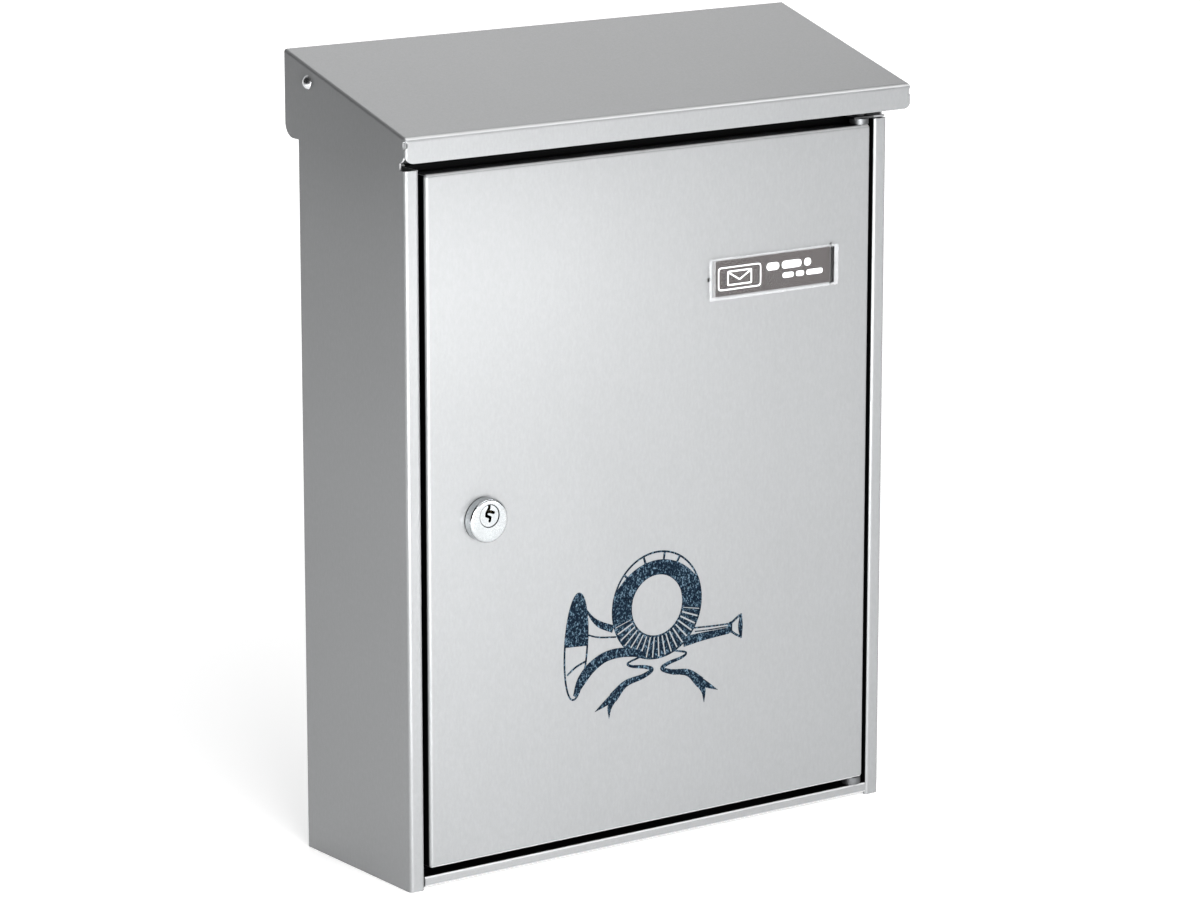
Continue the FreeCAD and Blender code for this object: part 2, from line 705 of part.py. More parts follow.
def lid_rivet():
    """Domed rivet on the right, through the lid, the spacer and the side of the casing."""
    seat = half_lid + end_play
    dome_radius = (rivet_head_radius ** 2 + rivet_head_height ** 2) / (2 * rivet_head_height)
    ball = Part.makeSphere(dome_radius, pivot_point(seat + rivet_head_height - dome_radius))
    head = ball.common(rod(rivet_head_radius, pivot_point(seat), pivot_point(seat + dome_radius)))
    tail_seat = half_inside - washer_thick
    tail = rod(rivet_tail_radius, pivot_point(tail_seat - rivet_tail_height), pivot_point(tail_seat))
    shank = rod(rivet_radius, pivot_point(tail_seat), pivot_point(seat))
    return head.fuse(shank).fuse(tail).removeSplitter()


def lid_spacer():
    """Sleeve that keeps the lid clear of the casing, on the right."""
    return tube(spacer_radius, rivet_radius + running, pivot_point(half_width),
                pivot_point(half_lid - sheet - end_play))


def rivet_washers():
    """Washers under the rivet tails, inside the casing."""
    washer = tube(washer_radius, rivet_radius + running, pivot_point(half_inside - washer_thick),
                  pivot_point(half_inside))
    return Part.makeCompound(both_sides(washer))


def parts():
    """Every node and its shape."""
    return {
        "casing_wrap": casing_wrap(),
        "bottom_tray": bottom_tray(),
        "top_rail": top_rail(),
        "lower_hinge_pin": hinge_pin(tray_top, 1),
        "lower_hinge_bush": hinge_bush(tray_top, 1),
        "upper_hinge_pin": hinge_pin(rail_z, -1),
        "upper_hinge_bush": hinge_bush(rail_z, -1),
        "lid_rivet_left": mirror_x(lid_rivet()),
        "lid_rivet_right": lid_rivet(),
        "lid_spacer_left": mirror_x(lid_spacer()),
        "lid_spacer_right": lid_spacer(),
        "lid_rivet_washers": rivet_washers(),
        "door_panel": door_panel(),
        "lock_housing": lock_housing(),
        "lock_washer": lock_washer(),
        "lock_nut": lock_nut(),
        "lock_plug": lock_plug(),
        "lock_wafers": lock_wafers(),
        "cam_stop_washer": cam_stop_washer(),
        "lock_cam": lock_cam(),
        "cam_spring_washer": cam_spring_washer(),
        "cam_screw": cam_screw(),
        "name_plate_cover": name_plate_cover(),
        "name_label": name_label(),
        "name_plate_clips": name_plate_clips(),
        "lid_panel": lid_panel(),
    }


os.makedirs("parts", exist_ok=True)
for name, shape in parts().items():
    shape.exportStep("parts/" + name + ".step")
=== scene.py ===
import math
import bpy
import numpy as np
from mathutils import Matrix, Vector


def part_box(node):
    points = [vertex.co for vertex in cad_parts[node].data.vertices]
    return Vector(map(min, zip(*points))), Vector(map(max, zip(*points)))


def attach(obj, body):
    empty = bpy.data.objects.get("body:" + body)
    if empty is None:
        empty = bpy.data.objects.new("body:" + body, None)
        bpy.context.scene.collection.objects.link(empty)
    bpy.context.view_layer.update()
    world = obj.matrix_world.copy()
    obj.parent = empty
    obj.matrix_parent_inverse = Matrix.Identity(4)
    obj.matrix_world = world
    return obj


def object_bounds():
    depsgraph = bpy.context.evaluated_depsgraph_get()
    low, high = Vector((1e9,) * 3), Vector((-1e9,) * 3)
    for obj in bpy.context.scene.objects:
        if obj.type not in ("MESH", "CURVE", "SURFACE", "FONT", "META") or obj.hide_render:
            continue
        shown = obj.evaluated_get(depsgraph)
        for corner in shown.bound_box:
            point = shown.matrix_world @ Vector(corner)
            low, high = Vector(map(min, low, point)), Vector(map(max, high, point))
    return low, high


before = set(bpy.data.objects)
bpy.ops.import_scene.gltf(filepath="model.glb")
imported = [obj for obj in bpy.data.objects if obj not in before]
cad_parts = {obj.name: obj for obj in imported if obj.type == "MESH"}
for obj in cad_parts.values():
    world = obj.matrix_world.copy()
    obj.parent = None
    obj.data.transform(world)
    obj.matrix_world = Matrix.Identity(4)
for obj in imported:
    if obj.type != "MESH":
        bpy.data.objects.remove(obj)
cad_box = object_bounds()

# Looks of a wall letter box of silver painted sheet steel. Lengths are in metres unless a
# name says mm. X runs to the right, Y into the wall and Z up.

MM = 0.001

# Camera
camera_azimuth = -35.6
camera_elevation = 12.75
camera_distance = 1.942
camera_aim_mm = (-1.0, -0.4, -6.2)      # aim point from the middle of the box
camera_lens = 140.8

# Post horn on the door, in millimetres from the middle of its ring
horn_middle_mm = (1.5, -58.9)
ring_inner = 12.8
ring_outer = 22.9
ring_rise = 3.8                         # widest part of the light crescent in the ring
ring_line = 0.8                         # width of the thin lines round the ring and the bell
solid_first = -12.0                     # solid part of the ring, in degrees from the right
solid_last = 197.0
wound_last = 348.0                      # end of the wound part, which begins where that ends
crescent_first = 20.0
crescent_last = 162.0
print_thick_mm = 0.10
print_sink_mm = 0.05                    # depth that the ink reaches into the door's face

# Gap round the door, whose folded edges get painted shade
side_gap = 2.2 * MM
low_gap = 3.0 * MM
top_gap = 5.0 * MM
gap_edge = 0.3 * MM                     # taken in beyond the faces on both sides
gap_depth = 12.5 * MM
gap_fade_start = 0.7 * MM               # depth behind the face where the painted shade begins
gap_fade_end = 1.5 * MM

# Painted shade in the seam round the lock's plug, to each side of the plug's edge
seam_dark = 0.10 * MM
seam_end = 0.28 * MM

# Print on the name card, in millimetres
card_ink_mm = 0.07
card_sink_mm = 0.02


# ---------------------------------------------------------------- camera, light and floor

def direction(azimuth, elevation):
    """Unit vector from the object towards a viewer: (sin a cos e, -cos a cos e, sin e)."""
    a = math.radians(azimuth)
    e = math.radians(elevation)
    return Vector((math.sin(a) * math.cos(e), -math.cos(a) * math.cos(e), math.sin(e)))


def box_middle():
    """Middle of the whole object's box."""
    return (cad_box[0] + cad_box[1]) / 2.0


def add_camera():
    """Long lens, from the left and a little above."""
    back = direction(camera_azimuth, camera_elevation)
    aim = box_middle() + Vector(camera_aim_mm) * MM
    data = bpy.data.cameras.new("camera")
    data.lens = camera_lens
    camera = bpy.data.objects.new("camera", data)
    camera.location = aim + back * camera_distance
    camera.rotation_mode = "QUATERNION"
    camera.rotation_quaternion = (-back).to_track_quat("-Z", "Y")
    bpy.context.scene.collection.objects.link(camera)
    bpy.context.scene.camera = camera


def add_softbox(name, azimuth, elevation, distance, width, height, power):
    """Rectangular soft light that faces the middle of the object."""
    back = direction(azimuth, elevation)
    data = bpy.data.lights.new(name, "AREA")
    data.shape = "RECTANGLE"
    data.size = width
    data.size_y = height
    data.energy = power
    light = bpy.data.objects.new(name, data)
    light.location = box_middle() + back * distance
    light.rotation_mode = "QUATERNION"
    light.rotation_quaternion = (-back).to_track_quat("-Z", "Y")
    light.visible_camera = False
    bpy.context.scene.collection.objects.link(light)


def add_overhead(azimuth, elevation, spread, strength):
    """Very wide distant light, as from a ceiling of soft lamps."""
    data = bpy.data.lights.new("overhead", "SUN")
    data.angle = math.radians(spread)
    data.energy = strength
    light = bpy.data.objects.new("overhead", data)
    light.rotation_mode = "QUATERNION"
    light.rotation_quaternion = (-direction(azimuth, elevation)).to_track_quat("-Z", "Y")
    bpy.context.scene.collection.objects.link(light)


def add_world(front, back):
    """Pale surroundings: the light grows smoothly from the first strength, on the front left,
    to the second, behind and on the right. Seen directly they are white."""
    world = bpy.data.worlds.new("studio")
    world.use_nodes = True
    tree = world.node_tree
    places = tree.nodes.new("ShaderNodeTexCoord")
    along = tree.nodes.new("ShaderNodeVectorMath")
    along.operation = "DOT_PRODUCT"
    tree.links.new(places.outputs["Generated"], along.inputs[0])
    along.inputs[1].default_value = (0.5, 0.85, 0.0)
    share = fade(tree, along.outputs["Value"], -0.2, 0.6)
    light = ramp(tree, share, [(0.0, front), (1.0, back)])
    rays = tree.nodes.new("ShaderNodeLightPath")
    seen = mixed(tree, "MIX", rays.outputs["Is Camera Ray"], light, (1.0, 1.0, 1.0, 1.0))
    tree.links.new(seen, tree.nodes["Background"].inputs["Color"])
    bpy.context.scene.world = world


def add_shade_card(name, corner, wide, tall):
    """Dark card that keeps light off one part of the object. It is a slightly bowed sheet:
    corner + u wide + v tall, moved by bow_depth (2 u - 1) squared along the cross of both
    edges."""
    bow_depth = 0.05
    columns = 13
    rows = 9
    material, tree, shader = new_material(name)
    fibre = noise(tree, object_places(tree, (1.0, 1.0, 1.0)), 60.0)
    tree.links.new(ramp(tree, fibre, [(0.3, 0.010), (0.7, 0.016)]), shader.inputs["Base Color"])
    shader.inputs["Roughness"].default_value = 1.0
    u, v = np.meshgrid(np.linspace(0.0, 1.0, columns), np.linspace(0.0, 1.0, rows), indexing="ij")
    u = u.reshape(-1, 1)
    v = v.reshape(-1, 1)
    across = np.cross(wide, tall)
    bow = bow_depth * (2.0 * u - 1.0) ** 2 * across / np.linalg.norm(across)
    points = np.array(corner) + u * np.array(wide) + v * np.array(tall) + bow
    i, j = np.meshgrid(np.arange(columns - 1), np.arange(rows - 1), indexing="ij")
    start = i * rows + j
    quads = np.stack([start, start + rows, start + rows + 1, start + 1], -1)
    faces = quads.reshape(-1, 4).tolist()
    card = make_mesh(name, points, faces, material)
    card.visible_camera = False


def add_floor(material):
    """Round pale floor under the object: x = r cos a, y = r sin a on a grid of rings."""
    reach = 14.0
    rings = 12
    spokes = 96
    radius = np.linspace(0.05, 1.0, rings) ** 2 * reach
    turn = np.linspace(0.0, 2.0 * math.pi, spokes, endpoint=False)
    r, a = np.meshgrid(radius, turn, indexing="ij")
    z = np.full_like(r, cad_box[0].z - 0.1 * MM)
    points = np.stack([r * np.cos(a), r * np.sin(a), z], -1).reshape(-1, 3)
    faces = ring_faces(rings, spokes)
    middle = [list(range(spokes))]
    floor = make_mesh("floor", points, faces + middle, material)


# ---------------------------------------------------------------- mesh tools

def ring_faces(rings, steps):
    """Quads between neighbouring closed rings of points, each ring with the same steps."""
    i, j = np.meshgrid(np.arange(rings - 1), np.arange(steps), indexing="ij")
    k = (j + 1) % steps
    quads = np.stack([i * steps + j, (i + 1) * steps + j, (i + 1) * steps + k, i * steps + k], -1)
    return quads.reshape(-1, 4).tolist()


def make_mesh(name, points, faces, material):
    """Mesh object at the origin from whole arrays of points and faces."""
    mesh = bpy.data.meshes.new(name)
    mesh.from_pydata(np.asarray(points).tolist(), [], faces)
    mesh.materials.append(material)
    piece = bpy.data.objects.new(name, mesh)
    bpy.context.scene.collection.objects.link(piece)
    return piece


def smooth_path(corners, steps):
    """Curve through rows of numbers. Between two rows each number follows the cubic that has
    the rows' values at its ends, and half the difference of the neighbouring rows as slopes."""
    rows = np.asarray(corners, float)
    rows = np.vstack([2 * rows[0] - rows[1], rows, 2 * rows[-1] - rows[-2]])
    t = np.linspace(0.0, 1.0, steps, endpoint=False)[None, :, None]
    a, b, c, d = (rows[i:len(rows) - 3 + i][:, None, :] for i in range(4))
    run = 0.5 * (2 * b + (c - a) * t + (2 * a - 5 * b + 4 * c - d) * t ** 2
                 + (3 * b - a - 3 * c + d) * t ** 3)
    return np.vstack([run.reshape(-1, rows.shape[1]), rows[-2:-1]])


def slab(path, front, back, closed=False):
    """Flat band of ink. path has rows x, z and width in millimetres. Each edge line is the
    path plus or minus half the width along the normal, which is the tangent turned a quarter
    turn, and the four edge lines between front and back make a closed body."""
    path = np.asarray(path, float)
    place = path[:, :2]
    if closed:
        tangent = np.roll(place, -1, 0) - np.roll(place, 1, 0)
    else:
        tangent = np.gradient(place, axis=0)
    tangent = tangent / np.linalg.norm(tangent, axis=1)[:, None]
    side = np.stack([-tangent[:, 1], tangent[:, 0]], 1) * path[:, 2:3] / 2.0
    left = place + side
    right = place - side
    lines = [(left, front), (right, front), (right, back), (left, back)]
    points = np.stack([np.stack([p[:, 0], np.full(len(p), y), p[:, 1]], 1) for p, y in lines], 1)
    count = len(path)
    i = np.arange(count if closed else count - 1)[:, None]
    j = np.arange(4)[None, :]
    n = (i + 1) % count
    k = (j + 1) % 4
    quads = np.stack([i * 4 + j, i * 4 + k, n * 4 + k, n * 4 + j], -1).reshape(-1, 4).tolist()
    if not closed:
        last = (count - 1) * 4
        quads += [[3, 2, 1, 0], [last, last + 1, last + 2, last + 3]]
    return points.reshape(-1, 3), quads


def joined(shapes):
    """One list of points and one of faces out of several shapes."""
    starts = np.cumsum([0] + [len(points) for points, _ in shapes])
    points = np.vstack([points for points, _ in shapes])
    faces = [[index + int(start) for index in face]
             for (_, quads), start in zip(shapes, starts) for face in quads]
    return points, faces


# ---------------------------------------------------------------- materials

def new_material(name):
    """Material with its tree and its main shader."""
    material = bpy.data.materials.new(name)
    material.use_nodes = True
    return material, material.node_tree, material.node_tree.nodes["Principled BSDF"]


def add_node(tree, kind, **values):
    """Node of a kind with its inputs set by name."""
    node = tree.nodes.new(kind)
    for key, value in values.items():
        node.inputs[key.replace("_", " ")].default_value = value
    return node


def object_places(tree, scale):
    """Object coordinates times a scale for each axis."""
    places = tree.nodes.new("ShaderNodeTexCoord")
    mapping = add_node(tree, "ShaderNodeMapping", Scale=scale)
    tree.links.new(places.outputs["Object"], mapping.inputs["Vector"])
    return mapping.outputs["Vector"]


def noise(tree, places, scale, detail=2.0, roughness=0.5):
    """Noise between 0 and 1 over the given places."""
    node = add_node(tree, "ShaderNodeTexNoise", Scale=scale, Detail=detail, Roughness=roughness)
    tree.links.new(places, node.inputs["Vector"])
    return node.outputs["Fac"]


def ramp(tree, factor, stops):
    """Colours by factor: each stop is a position and a grey value or a colour."""
    node = tree.nodes.new("ShaderNodeValToRGB")
    elements = node.color_ramp.elements
    while len(elements) < len(stops):
        elements.new(0.5)
    for element, (position, colour) in zip(elements, stops):
        element.position = position
        element.color = (*colour, 1.0) if isinstance(colour, tuple) else (colour,) * 3 + (1.0,)
    tree.links.new(factor, node.inputs["Fac"])
    return node.outputs["Color"]


def mixed(tree, kind, factor, first, second):
    """Mix of two colours, by the named way of mixing."""
    node = tree.nodes.new("ShaderNodeMix")
    node.data_type = "RGBA"
    node.blend_type = kind
    sockets = (node.inputs[0], node.inputs[6], node.inputs[7])
    for socket, value in zip(sockets, (factor, first, second)):
        if isinstance(value, (float, tuple)):
            socket.default_value = value
        else:
            tree.links.new(value, socket)
    return node.outputs[2]


def bump(tree, height, distance, strength, under=None):
    """Bump from a height of the given distance in metres, over another bump if there is one."""
    node = add_node(tree, "ShaderNodeBump", Strength=strength, Distance=distance)
    tree.links.new(height, node.inputs["Height"])
    if under is not None:
        tree.links.new(under, node.inputs["Normal"])
    return node.outputs["Normal"]


def math_node(tree, operation, first, second):
    """One sum, product, comparison or the like of two values."""
    node = tree.nodes.new("ShaderNodeMath")
    node.operation = operation
    for socket, value in zip(node.inputs, (first, second)):
        if isinstance(value, float):
            socket.default_value = value
        else:
            tree.links.new(value, socket)
    return node.outputs[0]


def fade(tree, value, start, end):
    """0 below start, 1 above end and a smooth rise between them."""
    node = add_node(tree, "ShaderNodeMapRange")
    node.interpolation_type = "SMOOTHSTEP"
    node.inputs["From Min"].default_value = start
    node.inputs["From Max"].default_value = end
    tree.links.new(value, node.inputs["Value"])
    return node.outputs["Result"]


def split_places(tree, kind="Object"):
    """X, Y and Z of the places in the object's frame, or of another of its coordinates."""
    places = tree.nodes.new("ShaderNodeTexCoord")
    split = tree.nodes.new("ShaderNodeSeparateXYZ")
    tree.links.new(places.outputs[kind], split.inputs["Vector"])
    return split.outputs


def door_gap_shade(tree):
    """1 on the folded edges that face each other round the door, 0 elsewhere: where painted shade
    goes. They lie behind the front by the radius of a fold, between the door's edge and the
    doorway's."""
    low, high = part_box("door_panel")
    place = split_places(tree)
    aside = math_node(tree, "ABSOLUTE", place["X"], 0.0)
    height = place["Z"]
    depth = place["Y"]
    inside = math_node(tree, "GREATER_THAN", aside, high.x - gap_edge)
    for side, level in (("GREATER_THAN", high.z - gap_edge), ("LESS_THAN", low.z + gap_edge)):
        inside = math_node(tree, "MAXIMUM", inside, math_node(tree, side, height, level))
    limits = [
        ("LESS_THAN", aside, high.x + side_gap + gap_edge),
        ("GREATER_THAN", height, low.z - low_gap - gap_edge),
        ("LESS_THAN", height, high.z + top_gap),
        ("LESS_THAN", depth, low.y + gap_depth),
    ]
    for side, value, limit in limits:
        inside = math_node(tree, "MULTIPLY", inside, math_node(tree, side, value, limit))
    behind = fade(tree, depth, low.y + gap_fade_start, low.y + gap_fade_end)
    return math_node(tree, "MULTIPLY", inside, behind)


def fold_highlight(tree):
    """1 on the level folds, where the surface turns from upright to flat, and 0 on the panels:
    where a painted highlight goes. It is the product of the two parts of the surface's direction
    in the object's frame."""
    turned = split_places(tree, "Normal")
    product = math_node(tree, "MULTIPLY", turned["Y"], turned["Z"])
    return fade(tree, math_node(tree, "ABSOLUTE", product, 0.0), 0.33, 0.46)


def silver_paint():
    """Metallic silver lacquer with a fine hammered grain, drawn out a little from top to
    bottom. The level folds get a painted highlight, a lighter colour, and the folded edges round
    the door get painted shade, near black and without coat."""
    material, tree, shader = new_material("silver_paint")
    grain = noise(tree, object_places(tree, (1.0, 1.0, 0.45)), 900.0, 3.0, 0.6)
    flake = noise(tree, object_places(tree, (1.0, 1.0, 1.0)), 2600.0, 1.0)
    cloud = noise(tree, object_places(tree, (1.0, 1.0, 0.6)), 14.0, 2.0)
    base = ramp(tree, grain, [(0.30, (0.206, 0.211, 0.215)), (0.52, (0.214, 0.219, 0.223)),
                              (0.74, (0.224, 0.229, 0.233))])
    tone = ramp(tree, cloud, [(0.3, 0.97), (0.7, 1.0)])
    colour = mixed(tree, "MULTIPLY", 1.0, base, tone)
    # painted highlight: the level folds get a lighter colour
    colour = mixed(tree, "MIX", fold_highlight(tree), colour, (0.480, 0.486, 0.490, 1.0))
    # painted shade: the folded edges round the door go near black, fully metallic and without
    # coat, so they read as the shade in the gap
    gap_shade = door_gap_shade(tree)
    colour = mixed(tree, "MIX", gap_shade, colour, (0.008, 0.0082, 0.0085, 1.0))
    tree.links.new(colour, shader.inputs["Base Color"])
    gloss = ramp(tree, flake, [(0.3, 0.43), (0.7, 0.53)])
    tree.links.new(gloss, shader.inputs["Roughness"])
    tree.links.new(ramp(tree, gap_shade, [(0.0, 0.5), (1.0, 1.0)]), shader.inputs["Metallic"])
    tree.links.new(ramp(tree, gap_shade, [(0.0, 0.5), (1.0, 0.0)]), shader.inputs["Coat Weight"])
    shader.inputs["Coat Roughness"].default_value = 0.20
    low = bump(tree, grain, 0.00004, 0.8)
    tree.links.new(bump(tree, flake, 0.00002, 0.4, low), shader.inputs["Normal"])
    return material


def plated_metal(name, dark, light, rough, scale, stretch, relief):
    """Bare or plated metal: two close tones, uneven gloss and fine marks along one axis."""
    material, tree, shader = new_material(name)
    marks = noise(tree, object_places(tree, stretch), scale, 3.0, 0.6)
    tree.links.new(ramp(tree, marks, [(0.3, dark), (0.7, light)]), shader.inputs["Base Color"])
    cloud = noise(tree, object_places(tree, (1.0, 1.0, 1.0)), scale / 6.0, 2.0)
    gloss = ramp(tree, cloud, [(0.3, rough * 0.8), (0.7, rough * 1.25)])
    tree.links.new(gloss, shader.inputs["Roughness"])
    shader.inputs["Metallic"].default_value = 1.0
    tree.links.new(bump(tree, marks, relief, 0.4), shader.inputs["Normal"])
    return material


def lock_chrome(name, shade_from):
    """Bright chrome with faint marks. It is painted near black as shade behind a depth given in
    metres, and as shade in the fine seam between the plug and the head, a circle about the plug's
    axis."""
    material, tree, shader = new_material(name)
    low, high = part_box("lock_plug")
    marks = noise(tree, object_places(tree, (1.0, 0.2, 1.0)), 1200.0, 3.0, 0.6)
    cloud = noise(tree, object_places(tree, (1.0, 1.0, 1.0)), 260.0, 2.0)
    place = split_places(tree)
    aside = math_node(tree, "SUBTRACT", place["X"], (low.x + high.x) / 2.0)
    above = math_node(tree, "SUBTRACT", place["Z"], (low.z + high.z) / 2.0)
    square = math_node(tree, "ADD", math_node(tree, "MULTIPLY", aside, aside),
                       math_node(tree, "MULTIPLY", above, above))
    radius = math_node(tree, "SQRT", square, 0.0)
    off = math_node(tree, "SUBTRACT", radius, (high.x - low.x) / 2.0)
    off = math_node(tree, "ABSOLUTE", off, 0.0)
    # painted shade: the chrome goes near black in the seam round the plug and behind the shade
    # depth
    seam_shade = math_node(tree, "SUBTRACT", 1.0, fade(tree, off, seam_dark, seam_end))
    dark = math_node(tree, "MAXIMUM", seam_shade, fade(tree, place["Y"], shade_from - 0.1 * MM, shade_from))
    shine = ramp(tree, marks, [(0.3, (0.43, 0.45, 0.46)), (0.7, (0.52, 0.54, 0.55))])
    colour = mixed(tree, "MIX", dark, shine, (0.012, 0.013, 0.014, 1.0))
    tree.links.new(colour, shader.inputs["Base Color"])
    tree.links.new(ramp(tree, cloud, [(0.3, 0.09), (0.7, 0.16)]), shader.inputs["Roughness"])
    shader.inputs["Metallic"].default_value = 1.0
    tree.links.new(bump(tree, cloud, 0.00002, 0.3), shader.inputs["Normal"])
    return material


def clear_plastic():
    """Clear moulded plastic, milky in its raised rims as a painted highlight and near black in the
    slot at its right end as painted shade, with faint flow marks."""
    material, tree, shader = new_material("clear_plastic")
    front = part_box("name_plate_cover")[0].y
    flow = noise(tree, object_places(tree, (0.4, 1.0, 1.0)), 260.0, 2.0)
    place = split_places(tree)
    sunk = fade(tree, place["Y"], front + 0.1 * MM, front + 0.6 * MM)
    slot_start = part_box("name_label")[1].x + 0.05 * MM
    slot_wide = 0.97 * MM
    # painted shade: the slot's walls at the right end go near black and opaque
    slot = math_node(tree, "GREATER_THAN", place["X"], slot_start)
    slot = math_node(tree, "MULTIPLY", slot,
                     math_node(tree, "LESS_THAN", place["X"], slot_start + slot_wide))
    slot = math_node(tree, "MULTIPLY", slot, sunk)
    milk = ramp(tree, flow, [(0.3, (0.80, 0.82, 0.84)), (0.7, (0.88, 0.89, 0.90))])
    tree.links.new(mixed(tree, "MIX", slot, milk, (0.01, 0.01, 0.01, 1.0)),
                   shader.inputs["Base Color"])
    # painted highlight: the raised rims are more opaque than the sunk window, so they read light
    cover = ramp(tree, sunk, [(0.0, 0.18), (1.0, 0.02)])
    tree.links.new(math_node(tree, "MAXIMUM", cover, slot), shader.inputs["Alpha"])
    tree.links.new(ramp(tree, flow, [(0.3, 0.05), (0.7, 0.10)]), shader.inputs["Roughness"])
    shader.inputs["IOR"].default_value = 1.49
    shader.inputs["Coat Weight"].default_value = 1.0
    shader.inputs["Coat Roughness"].default_value = 0.04
    tree.links.new(bump(tree, flow, 0.00002, 0.2), shader.inputs["Normal"])
    return material


def label_card():
    """Dark warm grey printed card with a fine paper grain."""
    material, tree, shader = new_material("label_card")
    fibre = noise(tree, object_places(tree, (0.5, 1.0, 1.0)), 2200.0, 3.0)
    tree.links.new(ramp(tree, fibre, [(0.3, (0.026, 0.021, 0.020)), (0.7, (0.038, 0.032, 0.031))]),
                   shader.inputs["Base Color"])
    tree.links.new(ramp(tree, fibre, [(0.3, 0.5), (0.7, 0.65)]), shader.inputs["Roughness"])
    shader.inputs["Specular IOR Level"].default_value = 0.1
    tree.links.new(bump(tree, fibre, 0.00001, 0.3), shader.inputs["Normal"])
    return material


def label_ink():
    """White ink on the card."""
    material, tree, shader = new_material("label_ink")
    grain = noise(tree, object_places(tree, (1.0, 1.0, 1.0)), 2600.0, 2.0)
    tree.links.new(ramp(tree, grain, [(0.3, 0.80), (0.7, 0.92)]), shader.inputs["Base Color"])
    tree.links.new(ramp(tree, grain, [(0.3, 0.45), (0.7, 0.6)]), shader.inputs["Roughness"])
    return material


def horn_ink():
    """Dark blue screen print, in which the grain of the paint below shows as light specks."""
    material, tree, shader = new_material("horn_ink")
    places = object_places(tree, (1.0, 1.0, 0.8))
    speck = noise(tree, places, 1300.0, 2.0, 0.7)
    tree.links.new(ramp(tree, speck, [(0.46, (0.001, 0.004, 0.009)), (0.54, (0.004, 0.011, 0.020)),
                                      (0.68, (0.080, 0.125, 0.165))]),
                   shader.inputs["Base Color"])
    tree.links.new(ramp(tree, speck, [(0.4, 0.60), (0.7, 0.70)]), shader.inputs["Roughness"])
    shader.inputs["Specular IOR Level"].default_value = 0.04
    tree.links.new(bump(tree, speck, 0.00003, 0.3), shader.inputs["Normal"])
    return material


def floor_paint():
    """Pale matt floor with a very faint unevenness, lit a little from below, more far out."""
    material, tree, shader = new_material("floor_paint")
    cloud = noise(tree, object_places(tree, (1.0, 1.0, 1.0)), 3.0, 3.0)
    tree.links.new(ramp(tree, cloud, [(0.3, 0.90), (0.7, 0.93)]), shader.inputs["Base Color"])
    shader.inputs["Roughness"].default_value = 0.9
    shader.inputs["Specular IOR Level"].default_value = 0.1
    places = tree.nodes.new("ShaderNodeTexCoord")
    length = tree.nodes.new("ShaderNodeVectorMath")
    length.operation = "LENGTH"
    tree.links.new(places.outputs["Object"], length.inputs[0])
    far = fade(tree, length.outputs["Value"], 0.7, 2.2)
    tree.links.new(ramp(tree, far, [(0.0, 0.42), (1.0, 0.74)]), shader.inputs["Emission Color"])
    shader.inputs["Emission Strength"].default_value = 1.0
    return material


def finish_node(node, material):
    """Puts a material on every slot of a CAD node."""
    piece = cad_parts[node]
    if not piece.material_slots:
        piece.data.materials.append(material)
    for slot in piece.material_slots:
        slot.material = material


# ---------------------------------------------------------------- post horn on the door

def polar(radius, turn):
    """Points at a radius and an angle in degrees, anticlockwise from the right."""
    turn = np.radians(turn)
    return np.stack([radius * np.cos(turn), radius * np.sin(turn)], -1)


def arc_band(inner, outer, first, last, steps=96):
    """Band between two radii, which may be arrays, from one angle to another."""
    turn = np.linspace(first, last, steps)
    inner = np.broadcast_to(inner, turn.shape)
    outer = np.broadcast_to(outer, turn.shape)
    return np.column_stack([polar((inner + outer) / 2.0, turn), outer - inner])


def crescent(turn):
    """Depth of the light crescent in the ring: a sine arch between two angles."""
    share = np.clip((turn - crescent_first) / (crescent_last - crescent_first), 0.0, 1.0)
    return ring_rise * np.sin(math.pi * share) ** 0.7


def horn_ring():
    """Ring of the horn: a broad band, a light crescent with ribs, and a wound lower part."""
    steps = 140
    turn = np.linspace(solid_first, solid_last, steps)
    bands = [arc_band(ring_inner, ring_outer - crescent(turn), solid_first, solid_last, steps)]
    rims = [(ring_outer - ring_line, crescent_first - 3.0, crescent_last + 3.0),
            (ring_inner, solid_last - 2.0, wound_last + 2.0),
            (ring_outer - ring_line, solid_last - 2.0, wound_last + 2.0)]
    for inner, first, last in rims:
        bands.append(arc_band(inner, inner + ring_line, first, last))
    for angle in (59.0, 80.0, 108.0, 138.0):
        ends = polar(np.array([ring_outer - ring_rise - 0.6, ring_outer - 0.3]), angle)
        bands.append(np.column_stack([ends, [1.0, 1.0]]))
    windings = 18
    winding_gap = 0.65
    pitch = (wound_last - solid_last) / windings
    for middle in solid_last + pitch * (np.arange(windings) + 0.5):
        radius = np.array([ring_inner + 0.3, ring_outer - 0.3])
        width = 2.0 * radius * math.tan(math.radians(pitch / 2.0)) - winding_gap
        bands.append(np.column_stack([polar(radius, middle), width]))
    return bands


def horn_bell():
    """Bell of the horn: a narrow leaning ellipse, solid above its middle."""
    middle = np.array([-40.8, -11.4])
    half_wide = 5.6
    half_tall = 22.2
    lean = math.radians(4.0)
    across = np.array([math.cos(lean), -math.sin(lean)])
    along = np.array([math.sin(lean), math.cos(lean)])
    turn = np.linspace(0.0, 2.0 * math.pi, 96, endpoint=False)[:, None]
    rim = middle + half_wide * np.cos(turn) * across + half_tall * np.sin(turn) * along
    share = np.sin(np.linspace(0.0, 0.498 * math.pi, 40))[:, None]
    core = middle + half_tall * share * along
    width = 2.0 * half_wide * np.sqrt(1.0 - share ** 2)
    return np.column_stack([rim, np.full(len(rim), ring_line)]), np.column_stack([core, width])


